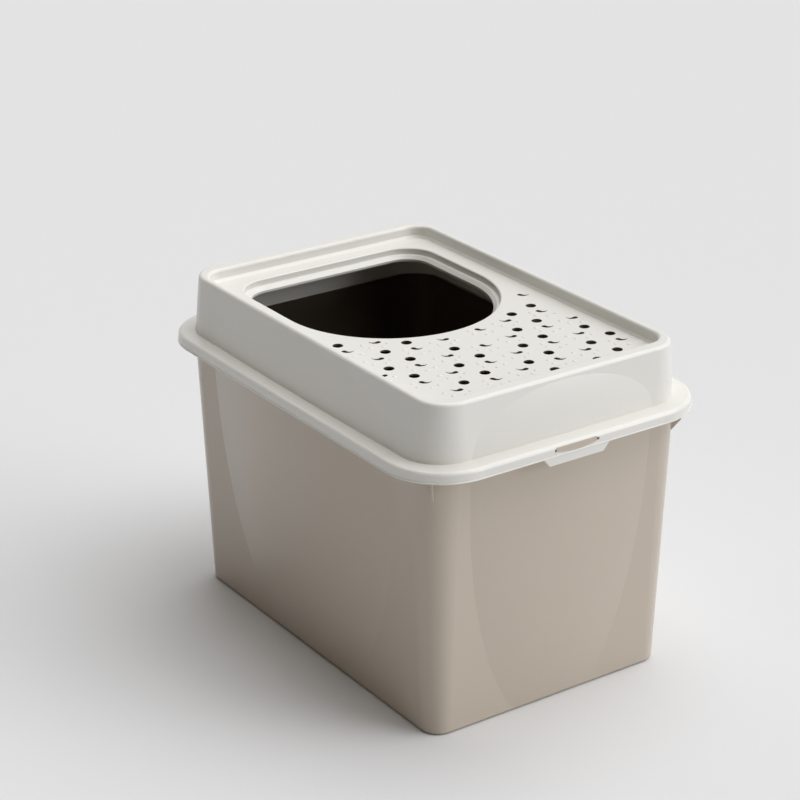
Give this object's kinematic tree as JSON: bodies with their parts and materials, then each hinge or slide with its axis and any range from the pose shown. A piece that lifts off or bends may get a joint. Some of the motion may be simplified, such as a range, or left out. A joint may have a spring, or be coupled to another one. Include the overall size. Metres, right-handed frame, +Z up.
{
  "type": "top entry litter box",
  "caption": "Deep tapered litter tub under a lift-off hooded lid with a recessed D-shaped top entry and a perforated paw-print tread.",
  "frame": {"origin": "middle of the tub's base, on the surface that the box stands on", "axes": "+X along the length, towards the end with the perforated tread; -X is the entry's end; +Y across the width; +Z up"},
  "size_m": [0.57, 0.4046, 0.4055],
  "materials": {
    "tub_plastic": "warm grey moulded polypropylene with a soft sheen",
    "lid_plastic": "off-white moulded polypropylene with a soft sheen"
  },
  "bodies": {
    "tub": {"litter_tub": "tub_plastic"},
    "lid": {"top_entry_lid": "lid_plastic"}
  },
  "joints": [
    {"name": "lid_lift", "type": "slide", "parent": "tub", "child": "lid", "axis": [0, 0, 1], "range_m": [0, 0.15]}
  ]
}
